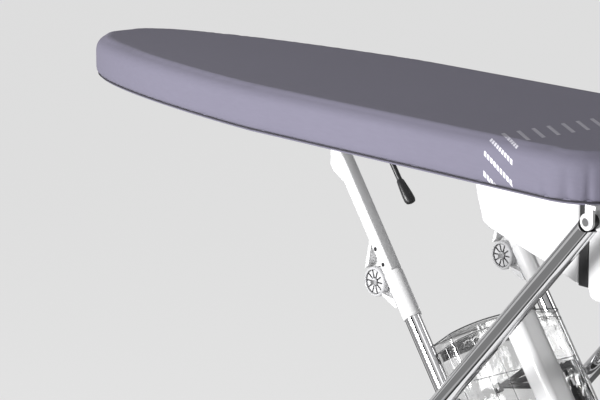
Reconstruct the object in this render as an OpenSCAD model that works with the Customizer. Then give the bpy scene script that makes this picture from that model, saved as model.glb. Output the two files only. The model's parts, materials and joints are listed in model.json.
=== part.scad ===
// Free-standing ironing board with a padded top, a blower under the heel,
// a scissor stand and a water tank and boiler carried between the inner legs.
// X runs from the nose to the heel, Y across the board, Z up from the floor.
// The origin is on the floor, below the middle of the board.

/* [Board] */
// Overall length of the padded top, nose to heel
board_len = 1405; // [1350:5:1450]
// Overall width of the padded top
board_w = 410; // [400:2:430]
// Height of the ironing surface above the floor
board_top = 850; // [848:1:852]
// Thickness of the whole padded top
board_t = 70; // [66:1:74]
// Radius of the rounded upper edge of the padding
edge_r = 24; // [16:1:28]

/* [Stand] */
// Outer diameter of the outer (B) leg tubes
b_tube_d = 30; // [26:0.5:30]
// Outer diameter of the inner (A) leg tubes
a_tube_d = 26; // [24:0.5:27]
// Half distance between the outer leg tubes
b_y = 168; // [167:0.5:170]
// Half distance between the inner leg tubes
a_y = 136; // [135:0.5:137]
// Wall of the leg tubes
wall = 1.5; // [1.2:0.1:2]
// Height of the scissor pivot above the floor
cross_z = 410; // [408:1:412]
// Diameter of the transport wheels
wheel_d = 47; // [44:1:48]

/* [Blower] */
// Overall width of the blower casing
blower_w = 230; // [220:2:234]
// Thickness of the casing walls
shell_t = 3; // [2.5:0.5:4]

/* [Tank] */
// Overall width of the clear water tank
tank_w = 234; // [220:2:234]
// Depth of the clear water tank
tank_d = 50; // [44:1:52]
// Height of the clear water tank
tank_h = 235; // [200:5:240]

/* [Hidden] */

near = -1;
far = 1;
nose_x = -board_len / 2;
heel_x = board_len / 2;
half_w = board_w / 2;
shoulder_x = -60;
heel_r = 100;
under = board_top - board_t;
core_top = under + 32;
skin = 2.5;

// Scissor: the B hinge is at the heel, the A glide runs in a rail towards the nose
cross_x = 347;
hinge_x = 661;
hinge_z = 755;
b_angle = atan((hinge_x - cross_x) / (hinge_z - cross_z));
b_up = norm([hinge_x - cross_x, hinge_z - cross_z]);
a_angle = 36.2;
foot_z = 18;
b_down = (cross_z - foot_z) / cos(b_angle);
a_down = (cross_z - foot_z) / cos(a_angle);
glide_x = 85;
glide_z = 769.8;
glide_r = 4.5;
rail_y = 95;
rail_h = 20;
rail_x = [-240, 178];
pivot_r = 5;
sheet_t = 1.2;
rim_t = 1.6;
fit = 0.05;
hinge_r = 4;
slot_up = [347, 424];

// Inner leg, measured from the scissor pivot: up along the leg, and out towards the heel
sleeve = [147, 226];
hub_up = 229;
hub_out = -43;
axle_r = 3;
fork_y = 9;
arm_t = 22;
arm_neck = 28;

// Tank unit on the inner legs
tank_top = 98;
tank_mid = 16;
tank_wall = 2.5;
tank_r = 9;
crown = 12;
crown_r = 600;
cap_up = 101;
column_out = 72;
boiler_top = -205;
boiler_h = 205;
cradle_top = tank_top - tank_h - 6;

// Colours
white = [0.93, 0.93, 0.94];
black = [0.06, 0.06, 0.07];
chrome = [0.75, 0.76, 0.78];
brushed = [0.62, 0.63, 0.65];
mauve = [0.42, 0.40, 0.47];
clear = [0.85, 0.9, 0.93, 0.4];

// Half the width of the top at a distance x from its middle
function half_width(x) =
    x < shoulder_x ? half_w * pow(max(0, 1 - pow((shoulder_x - x) / (shoulder_x - nose_x), 1.2)), 0.38)
    : x < heel_x - heel_r ? half_w
    : half_w - heel_r + sqrt(max(0, heel_r * heel_r - pow(x - heel_x + heel_r, 2)));

// Stations along the top, closer together at both ends
function station(u) = nose_x + board_len * (1 - cos(180 * u)) / 2;

// Outline of the top, made smaller all round by an inset
module outline(inset) {
    steps = 44;
    side = [for (i = [0:steps]) [station(i / steps), half_width(station(i / steps))]];
    back = [for (i = [steps:-1:0]) [side[i][0], -side[i][1]]];
    offset(delta = -inset) polygon(concat(side, back));
}

module slab(z0, z1, inset) {
    translate([0, 0, z0]) linear_extrude(z1 - z0) outline(inset);
}

// Padded body with a rounded upper edge and a slightly tucked lower edge
module pillow(z0, z1, inset, r) {
    slice = 0.2;
    hull() {
        slab(z0, z0 + slice, inset + 5);
        slab(z0 + 8, z0 + 8 + slice, inset + 1);
        for (a = [0:15:90])
            slab(z1 - r + r * sin(a) - slice, z1 - r + r * sin(a), inset + r * (1 - cos(a)) * 0.9);
    }
}

// Places its children on a leg: Z up along the leg, X out towards the heel
module on_a(side = 0) {
    translate([cross_x, side * a_y, cross_z]) rotate([0, -a_angle, 0]) children();
}

module on_b(side = 0) {
    translate([cross_x, side * b_y, cross_z]) rotate([0, b_angle, 0]) children();
}

// Round bar along Y
module bar_y(r, len) {
    rotate([90, 0, 0]) cylinder(r = r, h = len, center = true, $fn = 48);
}

module round_box(size, r) {
    linear_extrude(size[2]) offset(r) square([size[0] - 2 * r, size[1] - 2 * r], center = true, $fn = 32);
}

module tube(d, z0, z1) {
    translate([0, 0, z0]) difference() {
        cylinder(d = d, h = z1 - z0, $fn = 64);
        translate([0, 0, -1]) cylinder(d = d - 2 * wall, h = z1 - z0 + 2, $fn = 64);
    }
}

module board_tray() {
    color(white) difference() {
        slab(under, core_top - 3.2, 8);
        slab(under + sheet_t, core_top + 1, 8 + rim_t);
        translate([500, 0, under - 1]) cylinder(r = 60, h = 4, $fn = 64);
    }
}

module heater_plate() {
    color(chrome) slab(core_top - 3, core_top - 1.5, 9);
}

module deck() {
    color(brushed) difference() {
        slab(core_top - 1.3, core_top, 7);
        for (i = [-7:8], s = [-1, 1])
            translate([i * 75, s * 60, core_top - 3]) cylinder(r = 6, h = 5, $fn = 24);
    }
}

module foam_pad() {
    color([0.85, 0.85, 0.8]) pillow(core_top + 0.2, board_top - skin - 0.2, skin + 0.2, edge_r - skin);
}

module cover() {
    color(mauve) difference() {
        pillow(under, board_top, 0, edge_r);
        pillow(under - 9, board_top - skin, skin, edge_r - skin);
    }
}

module drawcord() {
    color(black) difference() {
        slab(under + 10, under + 13, skin + 3.2);
        slab(under + 9, under + 14, skin + 5.4);
    }
}

module cord_lock() {
    color(black) translate([-600, 0, under - 9]) cylinder(r = 7, h = 8.8, $fn = 32);
}

// Channel open towards the leg, with notches that set the height
module rail(side) {
    depth = 20;
    color(brushed) difference() {
        translate([rail_x[0], side * rail_y - depth / 2, under - rail_h])
            cube([rail_x[1] - rail_x[0], depth, rail_h - 0.2]);
        translate([rail_x[0] - 1, side * (rail_y + 2) - depth / 2, under - rail_h + 2])
            cube([rail_x[1] - rail_x[0] + 2, depth, rail_h - 4.2]);
        for (i = [0:6])
            translate([rail_x[0] + 40 + i * 26, side * rail_y - 4, under - rail_h - 1]) cube([8, 8, 4]);
    }
}

// White bracket with two cheeks, one each side of the tube's tongue
module hinge_lug(side) {
    cheek = 4.5;
    gap = 12.4;
    color(white) difference() {
        union() {
            for (s = [-1, 1]) translate([hinge_x, side * b_y + s * (gap + cheek) / 2, hinge_z]) {
                rotate([90, 0, 0]) cylinder(r = 12, h = cheek, center = true, $fn = 48);
                translate([-3, -cheek / 2, 0]) cube([15, cheek, under - hinge_z - 2]);
            }
            translate([hinge_x - 3, side * b_y - gap / 2 - cheek, under - 6])
                cube([20, gap + 2 * cheek, 5.8]);
        }
        translate([hinge_x, side * b_y, hinge_z]) bar_y(hinge_r + fit, 40);
    }
}

module hinge_pins() {
    color(chrome) for (side = [near, far]) translate([hinge_x, side * b_y, hinge_z]) {
        bar_y(hinge_r, 24);
        translate([0, side * 12, 0]) bar_y(6, 2);
    }
}

// Side outline of the blower casing between two X positions
module blower_side(points, width) {
    rotate([90, 0, 0]) linear_extrude(width, center = true) polygon(points);
}

blower_x = [368, 584, 604, 688];
front_pts = [[368, under - 3], [372, 742], [387, 698], [400, 691], [426, 684], [520, 660], [584, 641],
             [584, under - 3]];
front_in = [[372, under - 5.8], [376, 742], [390, 701], [402, 695], [428, 688], [520, 664], [590, 645],
            [590, under - 5.8]];

module blower_front() {
    color(white) difference() {
        blower_side(front_pts, blower_w);
        blower_side(front_in, blower_w - 2 * shell_t);
        translate([500, 0, under - 8]) cylinder(r = 60, h = 8, $fn = 64);
    }
}

module blower_band() {
    x0 = blower_x[1] + 0.3;
    w = blower_w - 4;
    color(black) difference() {
        translate([x0, -w / 2, 639]) cube([blower_x[2] - x0 - 0.3, w, under - 3 - 639]);
        translate([x0 - 1, -w / 2 + 4, 645]) cube([30, w - 8, under - 10 - 645]);
    }
}

rear_pts = [[604, under - 3], [604, 640], [609, 626], [620, 622], [650, 626], [680, 640], [688, 700],
            [688, under - 3]];
rear_in = [[600, under - 6], [600, 642], [611, 629], [621, 625.5], [649, 629], [677.5, 642], [685, 701],
           [685, under - 6]];

module blower_rear() {
    color(white) difference() {
        blower_side(rear_pts, blower_w);
        blower_side(rear_in, blower_w - 2 * shell_t);
        translate([676, -70, 665]) cube([20, 140, 80]);
    }
}

module blower_gasket() {
    color(black) translate([500, 0, under - 2.8]) difference() {
        cylinder(r = 70, h = 2.6, $fn = 64);
        translate([0, 0, -1]) cylinder(r = 60, h = 5, $fn = 64);
    }
}

module intake_grille() {
    color(black) difference() {
        translate([685.4, -69.5, 665.5]) cube([2.4, 139, 79]);
        for (i = [0:7]) translate([680, -62, 670 + i * 9]) cube([12, 124, 4.5]);
    }
}

module fan_motor() {
    color(brushed) translate([500, 0, 0]) {
        translate([0, 0, 690.5]) cylinder(r = 22, h = 21, $fn = 48);
        translate([0, 0, 711.5]) cylinder(r = 3, h = 36, $fn = 32);
        translate([-30, -4, 686]) cube([60, 8, 5]);
        translate([-30, -blower_w / 2 + shell_t + 0.2, 684])
            cube([8, blower_w - 2 * shell_t - 0.4, 4]);
    }
}

module fan_rotor() {
    blades = 12;
    color(black) translate([500, 0, 716]) difference() {
        union() {
            cylinder(r = 46, h = 2, $fn = 64);
            cylinder(r = 9, h = 28, $fn = 32);
            for (i = [0:blades - 1]) rotate(i * 360 / blades) translate([26, 0, 0]) rotate(35) cube([20, 1.6, 28]);
        }
        translate([0, 0, -1]) cylinder(r = 3 + fit, h = 40, $fn = 32);
    }
}

module mains_inlet() {
    color(black) translate([688.2, 84, 690]) difference() {
        cube([8, 22, 28]);
        translate([3, 3, 4]) cube([8, 16, 20]);
    }
}

// Height lever under the near side of the board
lever_x = 192;
lever_y = -127;
lever_z = 769;

module lever_bracket() {
    color(brushed) difference() {
        union() for (s = [-1, 1])
            translate([lever_x - 9, lever_y - 1.5 + s * 6.5, lever_z - 7]) cube([18, 3, under - lever_z + 6.8]);
        translate([lever_x, lever_y, lever_z]) bar_y(2.5 + fit, 40);
    }
}

module lever_pin() {
    color(chrome) translate([lever_x, lever_y, lever_z]) bar_y(2.5, 18);
}

module rod_between(p, q, r) {
    d = q - p;
    translate(p) rotate([0, atan2(d[0], d[2]), 0]) cylinder(r = r, h = norm(d), $fn = 32);
}

lever_knee = [216, lever_y, 737];
lever_end = [223, lever_y, 729];

module lever_rod() {
    color(black) difference() {
        union() {
            translate([lever_x, lever_y, lever_z]) bar_y(6.5, 9);
            rod_between([lever_x, lever_y, lever_z], lever_knee, 4.2);
            translate(lever_knee) sphere(r = 4.2, $fn = 32);
            rod_between(lever_knee, lever_end, 4.2);
        }
        translate([lever_x, lever_y, lever_z]) bar_y(2.5 + fit, 40);
    }
}

module lever_grip() {
    color(black) difference() {
        hull() {
            translate([219, lever_y, 733]) sphere(r = 6.5, $fn = 24);
            translate([240, lever_y, 709]) sphere(r = 9.5, $fn = 24);
        }
        rod_between(lever_knee - [4, 0, -5], lever_end + [0.2, 0, -0.2], 4.4);
        translate(lever_knee) sphere(r = 4.6, $fn = 32);
    }
}

// Outer leg: fish-mouthed at the hinge, with a long slot near its upper end
module b_tube(side) {
    color(brushed) on_b(side) difference() {
        tube(b_tube_d, -b_down + 13, b_up - 6);
        translate([0, 0, b_up]) bar_y(14.5, 40);
        bar_y(pivot_r + fit, 60);
        rotate(-side * 25) translate([b_tube_d / 2 - 3, -1.5, slot_up[0]]) cube([6, 3, slot_up[1] - slot_up[0]]);
        translate([0, 0, -b_down]) bar_y(13.7, 60);
    }
}

module b_plug(side) {
    color(black) on_b(side) difference() {
        union() {
            translate([0, 0, b_up - 40]) cylinder(d = b_tube_d - 2 * wall - 0.1, h = 25, $fn = 64);
            translate([-9, -6, b_up - 20]) cube([18, 12, 20]);
            translate([0, 0, b_up]) bar_y(9, 12);
        }
        translate([0, 0, b_up]) bar_y(hinge_r + fit, 40);
    }
}

module b_brace() {
    color(brushed) on_b() translate([0, 0, -400]) bar_y(9, 2 * b_y - b_tube_d - 0.2);
}

// Foot bar with a saddle in each leg tube
module b_foot_bar() {
    color(brushed) on_b() translate([0, 0, -b_down]) difference() {
        bar_y(13.5, 440);
        bar_y(12, 442);
    }
}

module foot_cap(x, y0, y1) {
    color(black) intersection() {
        translate([x, (y0 + y1) / 2, foot_z]) difference() {
            bar_y(20, y1 - y0);
            translate([0, (y0 > 0 ? -1 : 1) * 4, 0]) bar_y(13.6, y1 - y0);
        }
        translate([x - 50, -400, 0]) cube([100, 800, 100]);
    }
}

module b_foot_caps() {
    x = cross_x - b_down * sin(b_angle);
    foot_cap(x, -225, -185);
    foot_cap(x, 185, 225);
}

module cross_bolts() {
    inner_end = a_y - 17;
    head = b_y + b_tube_d / 2 + 2.1;
    color(chrome) for (side = [near, far]) translate([cross_x, 0, cross_z]) {
        translate([0, side * (inner_end + head) / 2, 0]) bar_y(pivot_r, head - inner_end);
        translate([0, side * head, 0]) bar_y(9, 4);
    }
}

module cross_nuts() {
    color(chrome) for (side = [near, far])
        translate([cross_x, side * (a_y - 15), cross_z]) rotate([90, 0, 0]) difference() {
            cylinder(r = 8, h = 3, center = true, $fn = 6);
            cylinder(r = pivot_r + 0.02, h = 10, center = true, $fn = 48);
        }
}

// Square arm above the wheel, with an ear towards the nose and a rounded end at the glide
module a_arm(side) {
    up = (glide_z - cross_z) / cos(a_angle);
    neck = up - arm_neck;
    color(white) difference() {
        union() {
            on_a(side) {
                translate([-arm_t / 2, -arm_t / 2, sleeve[1]]) cube([arm_t, arm_t, neck - sleeve[1]]);
                rotate([90, 0, 0]) linear_extrude(arm_t, center = true)
                    polygon([[arm_t / 2, neck - 0.1], [7, up - 2], [-8, up + 1], [-24, up - 20],
                             [-24, up - 32], [-arm_t / 2, up - 60]]);
            }
            translate([glide_x, side * a_y, glide_z]) bar_y(6.5, arm_t);
        }
        translate([glide_x, side * a_y, glide_z]) bar_y(3.5, 40);
    }
}

module a_sleeve(side) {
    color(white) on_a(side) translate([0, 0, sleeve[0]]) difference() {
        cylinder(d = 30, h = sleeve[1] - sleeve[0] - 0.1, $fn = 64);
        translate([0, 0, -1]) cylinder(d = a_tube_d + 0.1, h = 61, $fn = 64);
    }
}

module a_tube(side) {
    color(chrome) on_a(side) difference() {
        tube(a_tube_d, -a_down + 13, sleeve[0] + 59);
        bar_y(8.1, 60);
        translate([0, 0, -a_down]) bar_y(13.7, 60);
    }
}

// Nylon glides that run in the two rails, each on a stub from its arm
module a_glides() {
    color(white) for (side = [near, far]) translate([glide_x, 0, glide_z]) {
        translate([0, side * (rail_y + 24), 0]) bar_y(3.45, 56);
        translate([0, side * (rail_y + 1), 0]) bar_y(glide_r, 14);
    }
}

module cross_bushes() {
    color(white) for (side = [near, far]) translate([cross_x, side * a_y, cross_z]) difference() {
        bar_y(8, a_tube_d + 0.8);
        bar_y(pivot_r + fit, 60);
    }
}

module a_foot_bar() {
    color(chrome) on_a() translate([0, 0, -a_down]) difference() {
        bar_y(13.5, 380);
        bar_y(12, 382);
    }
}

module a_foot_caps() {
    x = cross_x + a_down * sin(a_angle);
    foot_cap(x, -195, -155);
    foot_cap(x, 155, 195);
}

module arm_rivets() {
    color(black) for (side = [near, far], p = [[-4, 268], [-2, 240]])
        on_a(side) translate([p[0], side * (arm_t / 2 + 0.7), p[1]]) bar_y(3, 1.2);
}

// Cheek that carries the wheel on the inner face of the arm
module wheel_fork(side) {
    t = 4;
    color(white) on_a(side) translate([0, fork_y, 0]) difference() {
        rotate([90, 0, 0]) linear_extrude(t, center = true)
            polygon([[-11.2, 290], [-11.2, 227], [-15.2, 225], [-15.2, 172], [-20, 174],
                     [hub_out + 6, hub_up - 26], [hub_out - 8, hub_up - 8], [hub_out - 8, hub_up + 8]]);
        translate([hub_out, 0, hub_up]) bar_y(axle_r + 0.02, 20);
    }
}

module wheel_axles() {
    color(chrome) for (side = [near, far]) on_a(side) translate([hub_out, 0, hub_up]) {
        bar_y(axle_r, 22);
        translate([0, -fork_y, 0]) bar_y(4.2, 2.4);
    }
}

module wheel(side) {
    spokes = 10;
    color([0.88, 0.88, 0.89]) on_a(side) translate([hub_out, -0.6, hub_up]) rotate([90, 0, 0]) difference() {
        union() {
            cylinder(d = wheel_d - 4, h = 7, center = true, $fn = 64);
            rotate_extrude($fn = 64) translate([wheel_d / 2 - 4, -6.5]) square([4, 13]);
            cylinder(r = 6, h = 13, center = true, $fn = 48);
            for (i = [0:spokes - 1]) rotate(i * 360 / spokes) translate([5, -0.7, -5]) cube([15, 1.4, 10]);
        }
        cylinder(r = axle_r + fit, h = 30, center = true, $fn = 48);
    }
}

// Shelf and back plate between the inner legs
module tank_cradle() {
    w = 2 * a_y - a_tube_d - 0.4;
    color(black) on_a() {
        translate([tank_mid - tank_d / 2 - 2, -w / 2, cradle_top]) cube([tank_d + 4, w, 5]);
        translate([-8, -w / 2, cradle_top - 18]) cube([16, w, 18]);
    }
}

// Clear tank with an arched rim
module tank() {
    z0 = tank_top - tank_h;
    color(clear) on_a() difference() {
        translate([tank_mid, 0, z0]) union() {
            round_box([tank_d, tank_w, tank_h - 12], tank_r);
            intersection() {
                round_box([tank_d, tank_w, tank_h + crown], tank_r);
                translate([0, 0, tank_h - crown_r + crown]) bar_y_x(crown_r, tank_d);
            }
        }
        translate([tank_mid, 0, z0 + tank_wall]) round_box([tank_d - 2 * tank_wall, tank_w - 2 * tank_wall,
                                                          tank_h - 18], tank_r - tank_wall);
        translate([tank_mid, 70, tank_top - 20]) cylinder(r = 14, h = 40, $fn = 48);
        translate([tank_mid, -60, z0 - 1]) cylinder(r = 8, h = 6, $fn = 48);
    }
}

// Round bar along X
module bar_y_x(r, len) {
    rotate([0, 90, 0]) cylinder(r = r, h = len, center = true, $fn = 180);
}

module tank_cap() {
    color(black) on_a() translate([tank_mid, 70, cap_up]) {
        translate([0, 0, -15]) cylinder(r = 13.8, h = 22, $fn = 48);
        translate([0, 0, 7]) cylinder(r = 18, h = 8, $fn = 48);
    }
}

module tank_valve() {
    z0 = tank_top - tank_h;
    color(black) on_a() translate([tank_mid, -60, z0]) {
        translate([0, 0, 0.2]) cylinder(r = 7.8, h = 4, $fn = 48);
        translate([0, 0, 4.2]) cylinder(r = 14, h = 26, $fn = 48);
    }
}

// Float guide and pick-up inside the tank
module float_guide() {
    z0 = tank_top - tank_h + tank_wall + 0.2;
    color(black) on_a() translate([tank_mid, 0, z0]) {
        translate([-8, -30, 0]) cube([16, 60, 30]);
        translate([0, 84, 0]) cylinder(r = 9, h = tank_h - 90, $fn = 32);
    }
}

module centre_column() {
    z0 = boiler_top + 0.2;
    z1 = 84;
    color(white) on_a() translate([column_out, 0, z0]) {
        linear_extrude(z1 - z0) scale_oval();
        translate([0, 0, z1 - z0]) hull() {
            linear_extrude(0.1) scale_oval();
            translate([0, 0, 10]) linear_extrude(0.1) offset(-9) scale_oval();
        }
    }
}

module scale_oval() {
    hull() for (s = [-1, 1]) translate([0, s * 4]) circle(r = 20.5, $fn = 32);
}

module boiler_case() {
    w = 2 * a_y - a_tube_d - 2;
    color(white) on_a() translate([36, 0, boiler_top - boiler_h]) difference() {
        round_box([120, w, boiler_h], 24);
        translate([0, 0, -0.1]) round_box([112, w - 8, boiler_h - 4], 20);
    }
}

module boiler() {
    h = boiler_h - 30;
    steel_t = 2.5;
    color(brushed) on_a() translate([36, -30, boiler_top - boiler_h + 12]) difference() {
        cylinder(r = 48, h = h, $fn = 64);
        translate([0, 0, steel_t]) cylinder(r = 48 - steel_t, h = h - 2 * steel_t, $fn = 64);
        translate([0, 0, h - 6]) cylinder(r = 5, h = 12, $fn = 32);
    }
}

module pump() {
    color(black) on_a() translate([10, 40, boiler_top - boiler_h + 20]) cube([44, 54, 60]);
}

module cradle_bolts() {
    color(chrome) for (side = [near, far]) on_a() translate([0, side * (a_y + a_tube_d / 2 + 1), cradle_top - 9])
        bar_y(5, 2);
}

board_tray();
heater_plate();
deck();
foam_pad();
cover();
drawcord();
cord_lock();
rail(near);  // rail_near
rail(far);  // rail_far
hinge_lug(near);  // hinge_lug_near
hinge_lug(far);  // hinge_lug_far
hinge_pins();
blower_front();
blower_band();
blower_rear();
blower_gasket();
intake_grille();
fan_motor();
fan_rotor();
mains_inlet();
lever_bracket();
lever_pin();
lever_rod();
lever_grip();
b_tube(near);  // b_tube_near
b_tube(far);  // b_tube_far
b_plug(near);  // b_plug_near
b_plug(far);  // b_plug_far
b_brace();
b_foot_bar();
b_foot_caps();
cross_bolts();
cross_nuts();
a_arm(near);  // a_arm_near
a_arm(far);  // a_arm_far
a_sleeve(near);  // a_sleeve_near
a_sleeve(far);  // a_sleeve_far
a_tube(near);  // a_tube_near
a_tube(far);  // a_tube_far
a_glides();
cross_bushes();
a_foot_bar();
a_foot_caps();
arm_rivets();
wheel_fork(near);  // wheel_fork_near
wheel_fork(far);  // wheel_fork_far
wheel_axles();
wheel(near);  // wheel_near
wheel(far);  // wheel_far
tank_cradle();
tank();
tank_cap();
tank_valve();
float_guide();
centre_column();
boiler_case();
boiler();
pump();
cradle_bolts();
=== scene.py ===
"""Looks of a free-standing ironing board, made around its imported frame.

X runs from the nose of the board to its heel, Y across it and Z up from the floor, in metres.
"""
import json
import logging
import math
from collections.abc import Callable, Iterable, Sequence
from dataclasses import dataclass, field
from enum import Enum

import bmesh
import bpy
from mathutils import Matrix, Vector, kdtree


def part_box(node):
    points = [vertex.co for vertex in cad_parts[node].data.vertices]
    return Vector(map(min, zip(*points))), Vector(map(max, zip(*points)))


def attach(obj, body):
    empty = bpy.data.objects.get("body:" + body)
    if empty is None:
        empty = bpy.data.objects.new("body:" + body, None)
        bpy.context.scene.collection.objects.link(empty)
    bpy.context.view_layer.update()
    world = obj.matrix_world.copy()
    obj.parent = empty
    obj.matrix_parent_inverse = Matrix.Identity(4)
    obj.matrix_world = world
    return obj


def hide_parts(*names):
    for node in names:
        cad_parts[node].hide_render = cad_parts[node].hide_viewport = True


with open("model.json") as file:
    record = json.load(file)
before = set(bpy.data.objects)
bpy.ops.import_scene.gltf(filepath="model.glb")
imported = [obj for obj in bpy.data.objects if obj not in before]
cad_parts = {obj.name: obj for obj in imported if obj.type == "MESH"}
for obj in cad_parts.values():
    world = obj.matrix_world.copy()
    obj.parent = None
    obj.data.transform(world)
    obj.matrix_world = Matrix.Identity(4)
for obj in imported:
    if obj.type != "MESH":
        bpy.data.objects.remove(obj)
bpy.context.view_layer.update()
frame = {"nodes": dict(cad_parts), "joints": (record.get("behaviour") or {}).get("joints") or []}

LOG = logging.getLogger("ironing_board")
NEAR = -1
FAR = 1
Point2 = tuple[float, float]
Point3 = tuple[float, float, float]
EdgeTest = Callable[[bmesh.types.BMEdge], bool]


class Body(str, Enum):
    """Rigid bodies of the frame that pieces ride on."""

    BOARD = "board"
    LEVER = "lever"
    INNER = "inner_legs"
    NEAR_WHEEL = "near_wheel"
    FAR_WHEEL = "far_wheel"
    TANK = "water_tank"
    CAP = "cap"


class Wire:
    """A shader socket that takes part in Python arithmetic.

    Args:
        bench: The material's node bench that new Math nodes go on.
        socket: The output socket that this wire carries.
    """

    def __init__(self, bench: "Bench", socket: bpy.types.NodeSocket) -> None:
        self.bench = bench
        self.socket = socket

    def op(self, name: str, *others: "Wire | float") -> "Wire":
        """Adds a Math node of the named operation with this wire first.

        Args:
            name: The operation's name, such as MULTIPLY.
            others: The other operands.

        Returns:
            The node's result.
        """
        return self.bench.node("ShaderNodeMath", {"operation": name}, dict(enumerate((self, *others))))

    def __add__(self, other: "Wire | float") -> "Wire":
        """Returns the sum."""
        return self.op("ADD", other)

    __radd__ = __add__

    def __mul__(self, other: "Wire | float") -> "Wire":
        """Returns the product."""
        return self.op("MULTIPLY", other)

    __rmul__ = __mul__

    def __sub__(self, other: "Wire | float") -> "Wire":
        """Returns the difference."""
        return self.op("SUBTRACT", other)

    def __rsub__(self, other: float) -> "Wire":
        """Returns the number less this wire."""
        return (self * -1.0) + other

    def __truediv__(self, other: "Wire | float") -> "Wire":
        """Returns the quotient."""
        return self.op("DIVIDE", other)

    def __lt__(self, other: "Wire | float") -> "Wire":
        """Returns 1 where this wire is less, else 0."""
        return self.op("LESS_THAN", other)

    def __gt__(self, other: "Wire | float") -> "Wire":
        """Returns 1 where this wire is greater, else 0."""
        return self.op("GREATER_THAN", other)


class Bench:
    """The node tree of one material.

    Args:
        name: The material's name.
    """

    def __init__(self, name: str) -> None:
        self.material = bpy.data.materials.new(name)
        self.material.use_nodes = True
        self.tree = self.material.node_tree
        self.tree.nodes.clear()

    def node(
        self,
        kind: str,
        settings: dict[str, object] | None = None,
        inputs: dict[str | int, object] | None = None,
        out: str | int = 0,
    ) -> Wire:
        """Adds a node, sets its properties and then its sockets.

        Args:
            kind: The node's type name.
            settings: Properties of the node, set first.
            inputs: Numbers, colours or wires for its sockets, by name or place.
            out: The output that is returned.

        Returns:
            The wire of the chosen output.
        """
        made = self.tree.nodes.new(kind)
        for key, value in (settings or {}).items():
            setattr(made, key, value)
        for key, value in (inputs or {}).items():
            if isinstance(value, Wire):
                self.tree.links.new(value.socket, made.inputs[key])
            else:
                made.inputs[key].default_value = value
        return Wire(self, made.outputs[out])

    def place(self, turn: Sequence[float] = (0, 0, 0), scale: Sequence[float] = (1, 1, 1)) -> Wire:
        """Returns Object coordinates, turned and scaled."""
        coords = self.node("ShaderNodeTexCoord", out="Object")
        settings = {"vector_type": "POINT"}
        return self.node("ShaderNodeMapping", settings, {"Vector": coords, "Rotation": turn, "Scale": scale})

    def noise(self, where: Wire, scale: float, detail: float = 3.0) -> Wire:
        """Returns a soft noise value of about 0 to 1."""
        values = {"Vector": where, "Scale": scale, "Detail": detail}
        return self.node("ShaderNodeTexNoise", None, values, "Fac")

    def blend(self, share: Wire, first: object, second: object) -> Wire:
        """Returns a colour between two colours, by a share from 0 to 1."""
        return self.node("ShaderNodeMix", {"data_type": "RGBA"}, {0: share, 6: first, 7: second}, 2)

    def bump(self, height: Wire, strength: float, distance: float) -> Wire:
        """Returns a normal that follows a height."""
        values = {"Height": height, "Strength": strength, "Distance": distance}
        return self.node("ShaderNodeBump", None, values, "Normal")

    def finish(self, **sockets: object) -> bpy.types.Material:
        """Adds the surface shader and the output.

        Args:
            sockets: The shader's sockets, with _ for a space in the name.

        Returns:
            The finished material.
        """
        values = {key.replace("_", " "): value for key, value in sockets.items()}
        return self.close(self.node("ShaderNodeBsdfPrincipled", None, values))

    def close(self, shader: Wire) -> bpy.types.Material:
        """Links a shader to the material's output and returns the material."""
        out = self.tree.nodes.new("ShaderNodeOutputMaterial")
        self.tree.links.new(shader.socket, out.inputs["Surface"])
        return self.material


def grey(level: float) -> tuple[float, float, float, float]:
    """Returns a neutral colour."""
    return (level, level, level, 1.0)


@dataclass(frozen=True)
class Finish:
    """A surface finish; each kind says how its material is made."""

    name: str
    slot: str

    def material(self) -> bpy.types.Material:
        """Returns the finish's material, made once."""
        known = bpy.data.materials.get(self.name)
        return known or self.make(Bench(self.name))

    def make(self, bench: Bench) -> bpy.types.Material:
        """Makes the material on a bench."""
        raise NotImplementedError


@dataclass(frozen=True)
class Moulded(Finish):
    """Moulded plastic or rubber with a fine grain."""

    colour: tuple[float, float, float] = (0.8, 0.8, 0.8)
    rough: float = 0.35
    grain: float = 0.04
    grain_scale: float = 900.0
    spread: float = 0.03
    coat: float = 0.0

    def make(self, bench: Bench) -> bpy.types.Material:
        """Makes plastic with slight clouding, worn gloss and a moulded grain."""
        where = bench.place()
        cloud = bench.noise(where, 6.0)
        fine = bench.noise(where, self.grain_scale, 2.0)
        dark = tuple(c * (1 - self.spread) for c in self.colour)
        light = tuple(min(1.0, c * (1 + self.spread)) for c in self.colour)
        return bench.finish(
            Base_Color=bench.blend(cloud, (*dark, 1), (*light, 1)),
            Roughness=cloud * 0.08 + (self.rough - 0.04),
            Normal=bench.bump(fine, self.grain, 0.0004),
            Coat_Weight=self.coat,
            Coat_Roughness=0.12,
        )


@dataclass(frozen=True)
class Metal(Finish):
    """Plated or brushed metal, with lines along one direction."""

    colour: tuple[float, float, float] = (0.8, 0.8, 0.82)
    rough: float = 0.08
    lines: float = 0.0
    lean: float = 0.0

    def make(self, bench: Bench) -> bpy.types.Material:
        """Makes metal whose brush lines run along the leaning tube."""
        where = bench.place((0, self.lean, 0), (900, 900, 6))
        strokes = bench.noise(where, 1.0, 4.0)
        smear = bench.noise(bench.place(), 14.0)
        dark = tuple(c * 0.93 for c in self.colour)
        return bench.finish(
            Base_Color=bench.blend(smear, (*dark, 1), (*self.colour, 1)),
            Metallic=1.0,
            Roughness=strokes * (0.5 * self.lines) + smear * 0.03 + self.rough,
            Normal=bench.bump(strokes, self.lines, 0.0003),
        )


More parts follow.
